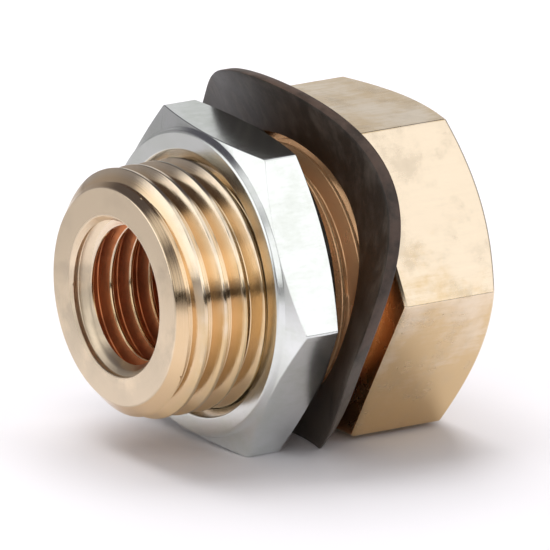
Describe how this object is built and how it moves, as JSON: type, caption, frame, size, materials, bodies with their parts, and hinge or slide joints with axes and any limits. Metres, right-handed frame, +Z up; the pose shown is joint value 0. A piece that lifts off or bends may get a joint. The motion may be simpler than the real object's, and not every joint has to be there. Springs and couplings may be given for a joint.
{
  "type": "tank connector",
  "caption": "Threaded tank connector: a brass bush with a hexagon head and a through bore, a steel lock nut on its outside thread and a bent black rubber sealing washer.",
  "frame": {"origin": "on the connector's axis, in the plane of the head's sealing face", "axes": "+Y along the axis from the open threaded end towards the head, +Z up from the surface it lies on"},
  "size_m": [0.0344, 0.0302, 0.0316],
  "materials": {
    "brass": "machined, pale",
    "zinc_steel": "zinc plated, satin",
    "rubber": "matt, moulded"
  },
  "bodies": {
    "connector": {"connector_body": "brass", "sealing_washer": "rubber"},
    "nut": {"lock_nut": "zinc_steel"}
  },
  "joints": [
    {"name": "nut_travel", "type": "slide", "parent": "connector", "child": "nut", "axis": [0, -1, 0], "range_m": [0, 0.012]}
  ]
}
